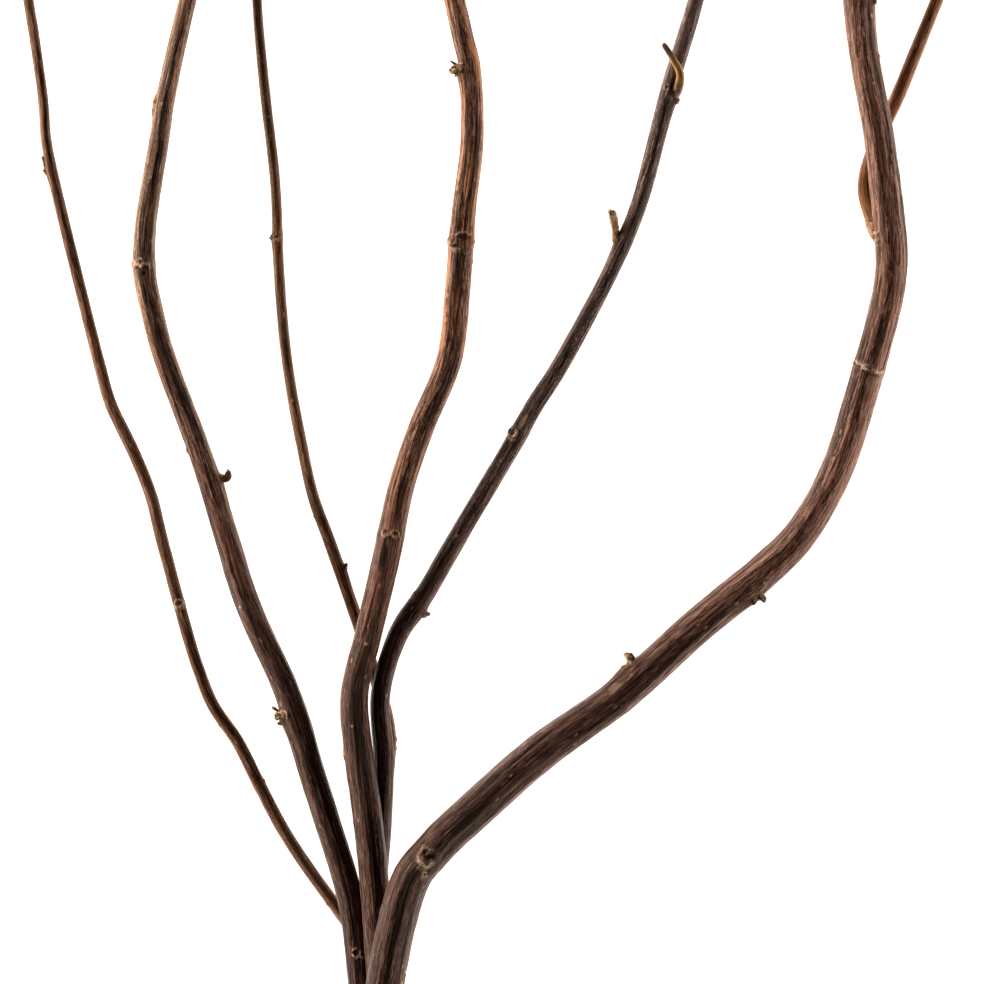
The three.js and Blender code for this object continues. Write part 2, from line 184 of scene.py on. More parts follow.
LEFT_MARKS = [
    # Its dark streaks are painted shade along the stem's top, and the two long pale ones are
    # painted highlight along its sides.
    Streak(-46, 106, 0.9, 11, -0.9), Streak(-43, 132, 1.8, 8, 0.5),
    Streak(-70, 84, 2.2, 40, -0.55), Streak(-190, 96, 2.4, 50, -0.6),
    Streak(0, 146, 6, 118, 0.2), Streak(0, 24, 3.8, 112, 0.14),
    Stub(-181.4, 158, 4, 3.4, 2.3, 0.7), Stub(-180.6, 166, 50, 1.2, 3.6, 0.8),
    Stub(-182.8, 170, -24, 1.8, 1.9, 0.3), Stub(-106.8, 8, -8, 2.8, 3.8, 0.08, 1.6),
    Stub(96, 10, 55, 2.2, 2, 0.3),
    Ring(-36.4, 0.3, 1.8, -0.3), Ring(136, 0.35, 2.2, 0.1),
    Scar(-258.9, 97, 3.2), Scar(62, 80, 2.4),
    Fold(-37.2, 124, 1.3, 10, 175, 0.34, 1), Fold(-37, 84, 1.35, 5, 175, 0.34, 1),
    Fold(-35.9, 150, 1.2, 0, 200, 0.3, 0.9), Fold(-35.2, 112, 1.2, 20, 150, 0.28, 0.8),
    Fold(-35, 104, 1, 200, 340, 0.28, 0.9), Fold(-261.3, 84, 1.1, 20, 160, 0.28, 0.8),
    Fold(-181.6, 142, 1.5, -70, 110, 0.3, 0.8),
    Dot(-49.2, 148, 1.2), Dot(17.2, 168, 2.2), Dot(15, 168, 3),
    Dot(12.6, 168, 2), Dot(-95.4, 168, 1.4), Dot(-146.7, 128, 1.2),
    Dot(-118, 70, 0.8), Dot(-8, 100, 0.9),
    Pit(-38.7, 92, 1.5, 1.5, 0.55), Pit(-36.9, 128, 1.1, 0.6, 0.3),
    Pit(-36.7, 84, 1, 0.6, 0.25),
]

LEFT_SLENDER_COURSE = [
    (-46, -251.6, 2.1, 4), (-61, -231, 2.2, 4), (-69.1, -218.2, 2.3, 4),
    (-76.3, -204.3, 2.8, 4.1), (-82.9, -191.1, 3.4, 4.1), (-90.8, -179.4, 4.2, 4),
    (-95.5, -167.7, 5, 3.9), (-99.3, -155.4, 5.8, 3.9), (-107.2, -126.2, 6.8, 3.9),
    (-111.2, -110.3, 6.8, 3.9), (-117.4, -95.2, 6.2, 3.9), (-123.9, -81.8, 5.1, 3.9),
    (-128, -67.7, 4, 3.8), (-135.5, -38.5, 2.4, 3.8), (-142.6, -9.2, 2.2, 3.8),
    (-145.3, 5.3, 2.5, 3.5), (-146.4, 20, 3.4, 3.4), (-150.6, 49.3, 5.8, 3.3),
    (-155.5, 77, 8, 3), (-161, 104, 8.4, 2.7), (-164.5, 131, 6.4, 2.4),
    (-163, 158, 3.6, 2.1), (-159, 185, 2, 1.8), (-160, 212, 2.6, 1.5),
    (-164.5, 238, 4.4, 1.1),
]

LEFT_SLENDER_MARKS = [
    Streak(-149.8, 100, 1, 3.6, 0.5), Streak(-11, 150, 0.8, 6, 0.4),
    # Its dark streak is painted shade along the stem's top.
    Streak(-168, 84, 1.2, 30, -0.5),
    Stub(-5.4, 172, 40, 1.5, 0.7, 0.1), Stub(-4.2, 164, 86, 0.9, 3.8, 0.3),
    Stub(-249, -12, 20, 1.6, 0.8, 0.1), Stub(118, 160, 60, 1.5, 1.6, 0.3),
    Ring(-146.4, 0.12, 1.5, -0.5), Ring(118, 0.2, 1.6, 0),
    Fold(-146.2, 92, 1.25, 0, 360, 0.26, 1), Fold(-147, 92, 1.2, 180, 360, 0.26, 0.9),
    Dot(-95, 80, 0.8), Dot(-60, 110, 0.7), Dot(30, 70, 0.7),
    Dot(-184.8, 168, 1.2), Dot(-204.9, 14, 1.2), Dot(-243, 160, 1.5),
    Pit(-146.2, 92, 1.3, 1.7, 0.07),
]

MIDDLE_SLENDER_COURSE = [
    (-35.3, -225, 2.2, 4.1), (-34.3, -207, 2.2, 4.1), (-33.4, -188, 2.2, 4.1),
    (-38.4, -169, 2.2, 3.9), (-44.6, -150, 2.2, 3.8), (-52.8, -126.5, 3, 3.7),
    (-57.9, -112.3, 4, 3.5), (-61.4, -97, 5, 3.4), (-66.6, -68, 6.6, 3.4),
    (-69.3, -38.5, 6.8, 3.5), (-70.6, -9.3, 5, 3.3), (-73.9, 20, 2.8, 3.2),
    (-76.5, 49.2, 1.8, 3), (-76.5, 78, 2.8, 2.7), (-72, 106, 4.8, 2.4),
    (-65, 132, 5.6, 2.1), (-60, 158, 4.2, 1.8), (-60, 184, 2, 1.5),
    (-63.5, 209, 2.4, 1.1),
]

MIDDLE_SLENDER_MARKS = [
    # Its dark streak is painted shade along the stem's top and its long pale one painted highlight
    # along the left side.
    Streak(-60, 92, 1.1, 26, -0.4), Streak(10, 138, 2.2, 110, 0.42),
    Stub(-135.2, 10, 40, 1.8, 0.9, 0.1), Stub(-27.4, 160, 40, 1.5, 0.4, 0.1),
    Stub(92, 15, 60, 1.5, 1.6, 0.3),
    Ring(-27.1, 0.15, 1.6, 0), Ring(92, 0.2, 1.6, 0),
    Fold(-27.3, 100, 0.9, 150, 400, 0.26, 0.9),
    Dot(-80, 95, 0.7), Dot(12, 80, 0.7), Dot(-52, 70, 0.6),
    Dot(-117.4, 168, 1), Dot(-176.3, 14, 1.5), Dot(-190.6, 14, 1.6),
    Dot(-193.6, 8, 1.3),
    Pit(-27.2, 96, 0.9, 1, 0.25),
]

MIDDLE_COURSE = [
    (-16, -352, 5.8, 9.8), (-23.4, -326, 11, 9.6), (-30.4, -298, 12.8, 9.4),
    (-35.7, -268, 12.9, 9.2), (-37.7, -241, 14.9, 9.2), (-40.2, -216, 15.6, 9.2),
    (-43.2, -194, 12.2, 9.2), (-44.4, -175.5, 11, 8.7), (-40.2, -156.5, 8.8, 8.8),
    (-35, -134, 6.4, 8.8), (-30.4, -111.5, 4.8, 8.4), (-26.9, -99.6, 4.6, 8.4),
    (-22.6, -88, 4.5, 8.4), (-13.8, -66.5, 5.2, 8.2), (-11, -43, 6.8, 8),
    (-9.1, -19, 8.2, 7.7), (-6.5, 4, 8.8, 7.5), (-7, 26, 8, 7.4),
    (-9.4, 37.5, 7.2, 7.2), (-12, 49.3, 6.2, 7), (-17.4, 74, 4.4, 6.7),
    (-22.4, 100, 3.8, 6.2), (-24.4, 127, 4.6, 5.8), (-21, 153, 6.8, 5.4),
    (-14.5, 178, 8.8, 4.9), (-11, 204, 9, 4.4), (-13.5, 231, 7, 3.9),
    (-19, 257, 4.2, 3.4), (-23, 284, 2.6, 2.8), (-22, 310, 3.2, 2.1),
    (-17, 335, 5, 1.4),
]

MIDDLE_SHOOTS = [
    Shoot([
        (-24.3, 122, 4.6, 3.4), (-34, 136, 5.8, 2.9), (-41, 154, 7.6, 2.5),
        (-43, 175, 8, 2.1), (-40, 196, 5.8, 1.7), (-41, 217, 3, 1.2),
    ]),
    Shoot([
        (-12, 222, 7.8, 2.8), (-3, 236, 9.2, 2.4), (5, 252, 9, 2),
        (8, 271, 6, 1.6), (7, 290, 3, 1.1),
    ]),
]

MIDDLE_MARKS = [
    # Its dark streaks are painted shade along the stem's top, and the long faint pale one is
    # painted highlight along its left side.
    Streak(-130.6, 106, 3.2, 12, -0.95), Streak(-112, 78, 2.8, 15, -0.75),
    Streak(-38, 100, 2.2, 15, -0.6), Streak(-5, 72, 2, 40, -0.6),
    Streak(-182, 84, 5.6, 64, -0.8), Streak(-40, 128, 1.4, 12, 0.4),
    Streak(-14, 142, 4, 96, 0.05),
    Stub(27.6, 156, 6, 3.1, 2, 1), Stub(28.8, 160, 36, 1, 3, 0.9),
    Stub(26.4, 164, -20, 1.7, 1.4, 0.9), Stub(88, 5, 55, 2.4, 2.2, 0.3),
    Ring(-28, 0.42, 2.4, -0.8), Ring(-124.3, 0.25, 1.8, -0.4),
    Ring(124, 0.4, 2.4, 0.1), Ring(224, 0.35, 2, 0.1),
    Scar(70, 95, 2.4),
    Fold(-29, 82, 3.5, 28, 140, 0.26, 0.9), Fold(-28.4, 92, 3.4, 185, 280, 0.5, 0.35),
    Fold(-28.2, 112, 3, 170, 300, 0.4, 0.6), Fold(-27.8, 140, 2, 180, 320, 0.4, 0.5),
    Fold(-30.6, 70, 1.6, 240, 350, 0.3, 0.4), Fold(-123.9, 113, 1.3, 150, 345, 0.3, 1),
    Fold(-123.6, 72, 1.15, -20, 290, 0.28, 1), Fold(-125.6, 60, 1.6, 30, 120, 0.25, 0.7),
    Fold(28, 132, 1.5, 60, 250, 0.34, 0.9),
    Dot(-52.5, 142, 1.1), Dot(-159.7, 88, 1.2), Dot(-186, 104, 1.2),
    Dot(-8, 60, 0.9), Dot(-28.4, 16, 1.5), Dot(-34.8, 14, 1.5),
    Dot(-194.7, 168, 2.4), Dot(11, 132, 0.8),
    Pit(-27.2, 76, 4.6, 2, 0.24), Pit(-29.8, 118, 2.2, 0.8, 0.22),
    Pit(-123.4, 113, 1.4, 1.1, 0.4), Pit(-123.4, 72, 1, 0.9, 0.35),
    Pit(27.4, 140, 1.3, 1.4, 0.4), Pit(-237, 100, 1.2, 1.4, 0.25),
]

GREY_COURSE = [
    (-25.4, -353, 3.6, 6.9), (-28.6, -326, 3.6, 6.8), (-31.6, -298, 3.6, 6.7),
    (-34.8, -270, 3.7, 6.5), (-37.4, -243, 5.6, 6.5), (-35.9, -219, 8.4, 6.5),
    (-35.1, -197, 8.2, 6.5), (-36.2, -176, 7.8, 6.3), (-30.4, -156.2, 6, 6.3),
    (-21.2, -142.2, 5, 6.2), (-12, -126.2, 4.1, 6), (5.2, -97, 3.2, 5.9),
    (13.7, -82, 3.1, 5.7), (22.8, -67.7, 3.2, 5.5), (38.3, -38.7, 5, 5.3),
    (44.7, -24.4, 6.3, 5.3), (49.7, -10, 7.6, 5.3), (57.4, 20, 9, 5.3),
    (66.1, 49.2, 7.6, 5.1), (73.5, 77, 4.6, 4.7), (78.5, 105, 2.7, 4.3),
    (79, 133, 3.2, 3.9), (75, 161, 5.8, 3.4), (72.5, 189, 7.4, 2.9),
    (75, 217, 5.8, 2.4), (80.5, 244, 3, 1.9), (83, 271, 2.6, 1.3),
]

GREY_SHOOTS = [
    Shoot([
        (79, 126, 3.4, 2.5), (87, 140, 5, 2.2), (92.5, 158, 6.4, 1.8),
        (93.5, 178, 5, 1.2),
    ]),
    Shoot([
        (58.9, 18.6, 9.6, 3), (60.7, 22.2, 11, 2.8), (60.9, 26, 12.6, 2.6),
        (58.9, 30, 13.8, 2.2), (55.4, 35.4, 14.3, 1.7),
    ], 0.9, 26, False),
]

GREY_MARKS = [
    # Its dark streaks are painted shade along the stem's top.
    Streak(-87, 100, 1.9, 7, 0.55), Streak(-170, 118, 2.6, 40, -0.7),
    Streak(19.4, 104, 1.1, 4, 0.3), Streak(-60, 80, 1.6, 30, -0.4),
    Stub(-28.6, 160, 56, 3, 9, 0.85), Stub(-147.6, -4, 0, 2.8, 1.1, 0.1),
    Stub(17.8, 6, 0, 2.6, 0.9, 0.2),
    Ring(-91, 0.3, 2.2, -0.6), Ring(-146.4, 0.2, 2, -0.6),
    Ring(18, 0.2, 2, -0.4),
    Scar(21, 112, 1.9),
    Fold(-91.6, 130, 1.5, 150, 420, 0.36, 0.9), Fold(-92.3, 112, 1.4, 190, 330, 0.3, 0.7),
    Dot(-100.2, 100, 1), Dot(-60, 80, 0.8), Dot(-8, 110, 0.8),
    Dot(-144.6, 166, 1.4),
    Pit(-91.2, 134, 1.2, 1.2, 0.28), Pit(18.6, 70, 1.4, 1.2, 0.2),
]

STEMS = [
    Stem("forked_stem", "dark_bark", 96, FORKED_COURSE, FORKED_MARKS, FORKED_SHOOTS),
    Stem("left_stem", "red_brown_bark", 100, LEFT_COURSE, LEFT_MARKS, LEFT_SHOOTS),
    Stem("left_slender_stem", "olive_bark", 64, LEFT_SLENDER_COURSE, LEFT_SLENDER_MARKS),
    Stem("middle_slender_stem", "olive_bark", 64, MIDDLE_SLENDER_COURSE, MIDDLE_SLENDER_MARKS),
    Stem("middle_stem", "orange_bark", 104, MIDDLE_COURSE, MIDDLE_MARKS, MIDDLE_SHOOTS),
    Stem("grey_stem", "grey_bark", 90, GREY_COURSE, GREY_MARKS, GREY_SHOOTS),
]


# ---- Courses ----

class Course:
    """A smooth line through chosen points, measured along its length in millimetres."""

    SPAN_ROWS = 24  # rows worked out between two chosen points
    FEEL = 0.6  # the line's way at a place is taken from this far on either side of it

    def __init__(self, points):
        p = np.array(points, float)
        p = np.vstack([2 * p[0] - p[1], p, 2 * p[-1] - p[-2]])
        t = np.linspace(0, 1, self.SPAN_ROWS, endpoint=False)[:, None]
        spans = []
        for a, b, c, d in zip(p[:-3], p[1:-2], p[2:-1], p[3:]):
            bend = (2 * a - 5 * b + 4 * c - d) * t**2 + (3 * b - a - 3 * c + d) * t**3
            spans.append((2 * b + (c - a) * t + bend) / 2)
        rows = np.vstack([*spans, p[-2:-1]])
        self.line = rows[:, :3]
        self.widths = rows[:, 3]
        steps = np.linalg.norm(np.diff(self.line, axis=0), axis=1)
        self.reach = np.concatenate([[0], np.cumsum(steps)])
        self.length = float(self.reach[-1])

    def point(self, s):
        """The point a length s along the line, which runs straight on past its ends."""
        inside = np.clip(s, 0, self.length)
        at = np.stack([np.interp(inside, self.reach, self.line[:, k]) for k in range(3)], axis=-1)
        ends = (self.line[0] - self.line[1], self.line[-1] - self.line[-2])
        before, after = (end / np.linalg.norm(end) for end in ends)
        past = np.asarray(s - inside)[..., None]
        return at + np.where(past < 0, -past * before, past * after)

    def along(self, s):
        """The way the line runs there, as a unit vector."""
        way = self.point(s + self.FEEL) - self.point(s - self.FEEL)
        return way / np.linalg.norm(way, axis=-1, keepdims=True)

    def width(self, s):
        return np.interp(s, self.reach, self.widths)

    def where(self, y):
        """How far along the line it passes y."""
        return float(np.interp(y, self.line[:, 1], self.reach))


def sides_of(along, reference):
    """The unit vectors to the right of a way and up from it, square to it."""
    right = along.cross(reference).normalized()
    return right, right.cross(along).normalized()


def ring_places(length, fine, step):
    """Where the rings of corners lie along a stem: close together within reach of a fine place."""
    places = [0.0]
    while places[-1] < length:
        near = any(abs(places[-1] - place) < reach for place, reach in fine)
        places.append(places[-1] + (FINE_STEP if near else step))
    places[-1] = length
    return np.array(places)


# ---- The skin of a stem ----

def bump(distance, width):
    """1 at no distance and nearly 0 past two widths."""
    return exp(-((distance / width) ** 2))


def clamp(value):
    return min(1.0, max(0.0, value))


def ripple(x, y, z):
    """Smooth noise between about -1 and 1."""
    return noise.noise(Vector((x, y, z)))


class Skin:
    """What a corner of a tube's skin holds: how far it stands out and how it is marked."""

    def __init__(self):
        self.height = 0.0
        self.scar = 0.0  # pale healed bark, and painted highlight along the sides of some stems
        self.pit = 0.0  # painted shade in hollows and along the tops of stems
        self.crease = 0.0  # painted shade at the bottom of a wrinkle

    def heal(self, share):
        self.scar = max(self.scar, clamp(share))

    # Adds painted shade.
    def sink(self, share):
        self.pit = max(self.pit, clamp(share))


def wrinkle_skin(skin, x, y, s, half, seed):
    """Lengthwise ribs and dried wrinkles, deeper on thick old wood than on thin shoots."""
    depth = min(1.0, half / 5) ** 0.7
    lobe = ripple(x * 0.9 + seed, y * 0.9, s / 70)
    rib = ripple(x * half / 2.1, y * half / 2.1 + seed, s / 52)
    sway = s / 17 + 0.6 * ripple(x, y + seed, s / 9)
    fold = abs(ripple(x * half / 0.85 + seed, y * half / 0.85, sway))
    wart = ripple(x * half / 1.4, y * half / 1.4, s / 2.2 + seed)
    skin.height += half * 0.075 * lobe + depth * (0.32 * rib + 0.42 * min(fold, 0.45))
    skin.height += 0.07 * depth * wart
    # Painted shade at the bottoms of the folds.
    skin.crease = clamp(1 - fold / 0.16) * clamp(0.55 - rib)


def ring_skin(skin, ring, x, y, away):
    """The swelling and the two broken lips of a node's ring, with painted shade in the groove
    between the lips.
    """
    wobble = 1.5 * ripple(x * 1.3, y * 1.3, ring.y)
    rough = ripple(x * 4, y * 4, away / 0.7 + ring.y)
    gate = clamp(3.4 * (ripple(x * 1.7, y * 1.7, ring.y + 9) + ring.gate * y))
    lips = bump(away - wobble - 0.85, 0.34) + 0.8 * bump(away + 1.2 * wobble + 0.8, 0.4)
    swell = bump(away, ring.spread * 1.6)
    skin.height += ring.height * (0.5 * swell + 0.8 * gate * lips * (1 + rough))
    skin.heal(gate * lips * (0.75 + 1.4 * rough))
    skin.sink(0.8 * gate * bump(away - 0.2 * wobble + 0.3 * rough, 0.42))


def scar_skin(skin, scar, far, ragged):
    """Broken pale lips round a hollow that is darkened with painted shade."""
    lips = clamp(0.75 + 2.6 * ragged) * bump(far - 0.86, 0.17)
    hollow = bump(far, 0.5)
    skin.height += scar.size * (0.07 * bump(far, 1.2) + 0.06 * lips - 0.09 * hollow)
    skin.heal(lips * (0.8 + ragged))
    skin.sink(1.1 * hollow)


def knot_skin(skin, knot, u, v, lump):
    """A snapped-off branch: a ragged crater, thick at one side, with a curl of wood inside and
    painted shade in the crater.
    """
    turn = atan2(v, u)
    far = hypot(u, v / 1.1) / (knot.size / 2) * (1 + 0.55 * lump + 0.1 * cos(3 * turn + 1))
    thick = 0.12 + 0.88 * clamp(0.5 - 0.8 * cos(turn - 0.9) + 1.2 * lump)
    lips = thick * bump(far - 0.95, 0.24)
    curl = clamp(0.5 + sin(2.2 * turn + 7 * far)) * bump(far - 0.42, 0.2)
    hollow = bump(far, 0.72) * (1 - 0.75 * curl)
    skin.height += knot.size * (0.07 * bump(far, 1.3) + 0.05 * lips + 0.03 * curl - 0.1 * hollow)
    skin.heal(0.95 * lips)
    skin.heal(0.5 * curl * bump(far, 0.7))
    skin.sink(clamp(1.3 * hollow) * (1 - 0.8 * lips))


def dot_skin(skin, dot, far):
    skin.height += 0.26 * dot.size * bump(far, 0.9)
    skin.heal(1.5 * bump(far, 0.55))


def fold_skin(skin, fold, u, v, ragged):
    """A raised lip on part of a circle round u = v = 0, with soft ends."""
    middle = (fold.start + fold.end) / 2
    off = abs((degrees(atan2(v, u)) - middle + 180) % 360 - 180)
    inside = clamp(((fold.end - fold.start) / 2 - off) / 24 + 0.5)
    lip = inside * bump(hypot(u, v) - fold.radius * (1 + 0.14 * ragged), fold.width)
    skin.height += 1.2 * fold.width * lip
    skin.heal(1.3 * fold.pale * lip * (0.9 + 0.6 * ragged))


def pit_skin(skin, pit, u, v, ragged):
    # Painted shade, darker the deeper the pit.
    hollow = bump(hypot(u / pit.across, v / pit.along) * 2 * (1 + 0.5 * ragged), 0.8)
    skin.height -= pit.depth * hollow
    skin.sink(clamp(1.4 * hollow) * min(1.0, pit.depth / FULL_SHADE_DEPTH))


def streak_skin(skin, streak, u, v):
    """Colours a streak along the fibres: painted shade where dark, painted highlight where long and
    pale, a pale mark where short.
    """
    frayed = ripple(u * 1.3, streak.y, v / 14)
    far = hypot(u / streak.across, v / streak.along) * 2
    cover = clamp((1 - far) * 2.6 + 1.6 * frayed)
    if streak.shade > 0:
        skin.heal(streak.shade * cover)
    else:
        skin.sink(-streak.shade * cover)


def shoulder_skin(skin, stub, u, v):
    """The swelling that carries a stub, long below it and short above it."""
    stretch_to = 2.6 if v < 0 else 0.8
    swell = bump(u, 0.8 * stub.width) * bump(v, stretch_to * stub.width)
    skin.height += 0.22 * stub.width * swell


def tip_shape(left, half):
    """A stem's half width near its tip, where a pointed bud closes it. left is the length to go."""
    if left >= TIP_BUD:
        return half
    gone = 1 - left / TIP_BUD
    return half * (1 + 0.75 * sin(pi * gone**0.8)) * (1 - gone**4) + 0.12 * gone


def mark_skin(skin, mark, u, v, ragged):
    """Adds one feature of a stem. u is mm to its right round the bark and v is mm to the tip."""
    if isinstance(mark, Streak):
        streak_skin(skin, mark, u, v)
    elif isinstance(mark, Fold):
        fold_skin(skin, mark, u, v, ragged)
    elif isinstance(mark, Pit):
        pit_skin(skin, mark, u, v, ragged)
    elif isinstance(mark, Stub):
        shoulder_skin(skin, mark, u, v)
    elif isinstance(mark, Knot):
        knot_skin(skin, mark, u, v, ripple(u / 2.1, v / 2.1, mark.y))
    else:
        far = hypot(v / 1.12, u) / (mark.size / 2) * (1 + 0.4 * ragged)
        if isinstance(mark, Scar):
            scar_skin(skin, mark, far, ragged)
        else:
            dot_skin(skin, mark, far)


def reach_of(mark):
    """How far along the stem a feature changes the skin."""
    if isinstance(mark, Ring):
        return 7
    if isinstance(mark, Streak):
        return mark.along * 0.9
    if isinstance(mark, Stub):
        return 6 * mark.width
    if isinstance(mark, Fold):
        return mark.radius * 1.4 + 3 * mark.width
    if isinstance(mark, Pit):
        return 1.2 * mark.along + 0.5
    return mark.size * 1.6


def stem_skin(stem, course):
    """The function that shapes a main stem's skin. Its features are found once, beforehand."""
    seed = len(stem.course) * 1.7
    placed = [(course.where(mark.y), reach_of(mark), mark) for mark in stem.marks]

    def shape(x, y, s, half):
        skin = Skin()
        wrinkle_skin(skin, x, y, s, half, seed)
        for place, reach, mark in placed:
            v = s - place
            if abs(v) > reach:
                continue
            if isinstance(mark, Ring):
                ring_skin(skin, mark, x, y, v)
                continue
            turn = radians(mark.angle)
            gap = atan2(y * cos(turn) - x * sin(turn), x * cos(turn) + y * sin(turn))
            ragged = ripple(x * half / 0.9, y * half / 0.9 + seed, s / 0.9)
            mark_skin(skin, mark, -gap * half, v, ragged)
        radius = tip_shape(course.length - s, half + skin.height)
        slide = CUT_SLANT * y * radius * max(0.0, 1 - s / CUT_ZONE)
        young = clamp((YOUNG_HALF - half) / 2)
        return radius, slide, skin, 0.15 * young, young

    return shape


def blunt_shape(left, half):
    """A broken or cut end with its edge worn round."""
    worn = 0.8 * half
    if left >= worn:
        return half
    return half * min(1.0, 0.55 + 0.45 * (left / worn) ** 0.5)


def shoot_skin(course, base, shoot):
    """Shapes a side shoot, which flares where it leaves the bark at about base along its course."""
    seed = course.length
    end_shape = tip_shape if shoot.bud else blunt_shape

    def shape(x, y, s, half):
        skin = Skin()
        wrinkle_skin(skin, x, y, s, half, seed)
        away = s - base
        collar = bump(away, 3.2)
        crinkle = ripple(x * 2.2, y * 2.2, s / 0.8)
        flare = 1 + 0.22 * collar + 0.12 * collar * crinkle
        radius = end_shape(course.length - s, half * flare + 0.7 * skin.height)
        # The collar is pale, palest on its raised crinkles, with painted shade in the grooves
        # between them.
        skin.scar = clamp(0.45 * bump(away, 2) + 0.9 * collar * crinkle)
        skin.pit = clamp(-1.5 * collar * crinkle)
        fade = 1 if shoot.bud else clamp((course.length - s - 3) / 5) * clamp((s - 3) / 3)
        return radius, 0.0, skin, shoot.ochre * fade, SHOOT_YOUTH

    return shape


def stub_skin(course, stub, buried):
    """Shapes a stub: a collar at the bark, a rough side and a broken or healed end."""
    def shape(x, y, s, half):
        skin = Skin()
        out = clamp((s - buried) / stub.length)
        seed = stub.y
        rough = ripple(x * 1.7 + seed, y * 1.7, s / 1.3)
        thread = ripple(x * 3.1, y * 3.1 + seed, s / 2.6)
        flare = 0.86 + 0.42 * bump(s - buried, 0.28 * stub.width) + 0.16 * out**3
        lobe = ripple(x * 1.5 + seed, y * 1.5, 3.3)
        radius = half * (flare + 0.3 * rough + 0.16 * thread) * (1 + 0.5 * out**2 * lobe)
        slide = out**2 * stub.width * (0.7 * lobe + 0.25 * rough)
        skin.scar = (0.3 + 0.7 * stub.ochre) * clamp(1.1 * bump(out - 1, 0.45) + 0.8 * rough)
        # Painted shade in the grooves between the threads.
        skin.crease = clamp(-2.5 * thread)
        return radius, slide, skin, stub.ochre, STUB_YOUTH

    return shape


def bud_skin(course, size):
    """Shapes a small pointed bud that lies along the bark."""
    def shape(x, y, s, half):
        gone = s / course.length
        radius = size * (0.12 + 0.88 * sin(pi * gone**0.7) ** 0.9) * (1 - gone**3)
        skin = Skin()
        # A band of painted shade round the bud, a third of the way to its tip.
        skin.crease = 0.5 * bump(gone - 0.3, 0.08)
        return radius + 0.05, 0.0, skin, BUD_OCHRE, SHOOT_YOUTH

    return shape


# ---- Tubes ----

def add_layers(bm):
    """What the bark reads: the corner's place in the unbent wood, its marks and the painted shade
    of its creases.

    marks holds pale scar and painted highlight, painted shade, ochre skin and youth. The place is
    in millimetres.
    """
    layers = []
    for kind, name in (("float_vector", "grain"), ("float_color", "marks"), ("float", "crease")):
        known = getattr(bm.verts.layers, kind)
        layers.append(known.get(name) or known.new(name))
    return layers


def roll_tube(bm, course, places, sides, shape, reference=UP, start=YOUNG_START):
    """Rolls a flat sheet into a tube round a course and closes its ends. Returns the end faces.

    Skin that would dip into the table lies flat on it instead.
    start is how far from the root the wood is at the tube's own start, because the bark is darker
    and more mauve near the root.
    """
    grain, marks, crease = add_layers(bm)
    rows = len(places)
    sheet = bmesh.ops.create_grid(bm, x_segments=sides, y_segments=rows - 1, size=0.5)["verts"]
    points = course.point(places)
    ways = course.along(places)
    halves = course.width(places) / 2
    turns = [2 * pi * (k % sides) / sides - pi / 2 for k in range(sides + 1)]
    ring = [(cos(turn), sin(turn)) for turn in turns]
    for row in range(rows):
        point = Vector(points[row])
        along = Vector(ways[row])
        right, up = sides_of(along, reference)
        for column, (x, y) in enumerate(ring):
            radius, slide, skin, ochre, young = shape(x, y, float(places[row]), float(halves[row]))
            corner = sheet[row * (sides + 1) + column]
            corner.co = (point + (right * x + up * y) * radius + along * slide) * MM
            corner.co.z = max(corner.co.z, 0.0)
            corner[grain] = Vector((x * halves[row], y * halves[row], start + places[row] + slide))
            corner[marks] = Vector((skin.scar, skin.pit, ochre, young))
            corner[crease] = skin.crease
    bmesh.ops.remove_doubles(bm, verts=sheet, dist=1e-8)
    rims = [e for e in bm.edges if e.is_boundary]
    caps = bmesh.ops.holes_fill(bm, edges=rims, sides=0)["faces"]
    return sorted(caps, key=lambda cap: cap.calc_center_median().y)


def narrow_cap(bm, cap, share, sink, pit=0.0):
    """Draws a smaller outline inside an end face, sinks it by a length and darkens it with a share
    of painted shade.
    """
    grain = bm.verts.layers.float_vector["grain"]
    marks = bm.verts.layers.float_color["marks"]
    centre = cap.calc_center_median()
    bmesh.ops.inset_individual(bm, faces=[cap], thickness=0)
    verts = list(cap.verts)
    bmesh.ops.scale(bm, vec=(share,) * 3, space=Matrix.Translation(-centre), verts=verts)
    bmesh.ops.translate(bm, vec=cap.normal * -sink * MM, verts=verts)
    for v in verts:
        v[grain] = Vector((v[grain].x * share, v[grain].y * share, v[grain].z))
        v[marks] = Vector((v[marks][0], max(pit, v[marks][1]), v[marks][2], v[marks][3]))


def trim_butt(bm, cap):
    """A butt's cut end: the bark's edge, the bare wood and a sunk pith in the middle."""
    for edge in cap.edges:
        edge.smooth = False
    narrow_cap(bm, cap, BARK_SHARE, 0)
    for edge in cap.edges:
        edge.smooth = False
    cap.material_index = 1
    for share in (0.8, 0.75, 0.65, 0.55):
        narrow_cap(bm, cap, share, 0.03)
    narrow_cap(bm, cap, 0.7, 0.35)
    bmesh.ops.poke(bm, faces=[cap])


def add_object(name, data):
    made = bpy.data.objects.new(name, data)
    bpy.context.scene.collection.objects.link(made)
    return made


def finish_tubes(bm, name, materials):
    """The closed tubes in bm as an object with smooth faces that point outwards."""
    bmesh.ops.recalc_face_normals(bm, faces=bm.faces)
    for face in bm.faces:
        face.smooth = True
    mesh = bpy.data.meshes.new(name)
    bm.to_mesh(mesh)
    bm.free()
    for material in materials:
        mesh.materials.append(material)
    return add_object(name, mesh)


# ---- Growth on a stem ----

def out_of(course, s, angle):
    """Where the skin is at an angle round the stem, the way out of it there and along it."""
    along = Vector(course.along(s))
    right, up = sides_of(along, UP)
    turn = radians(angle)
    out = right * cos(turn) + up * sin(turn)
    half = float(course.width(s)) / 2
    return Vector(course.point(s)) + out * half, out, along, half


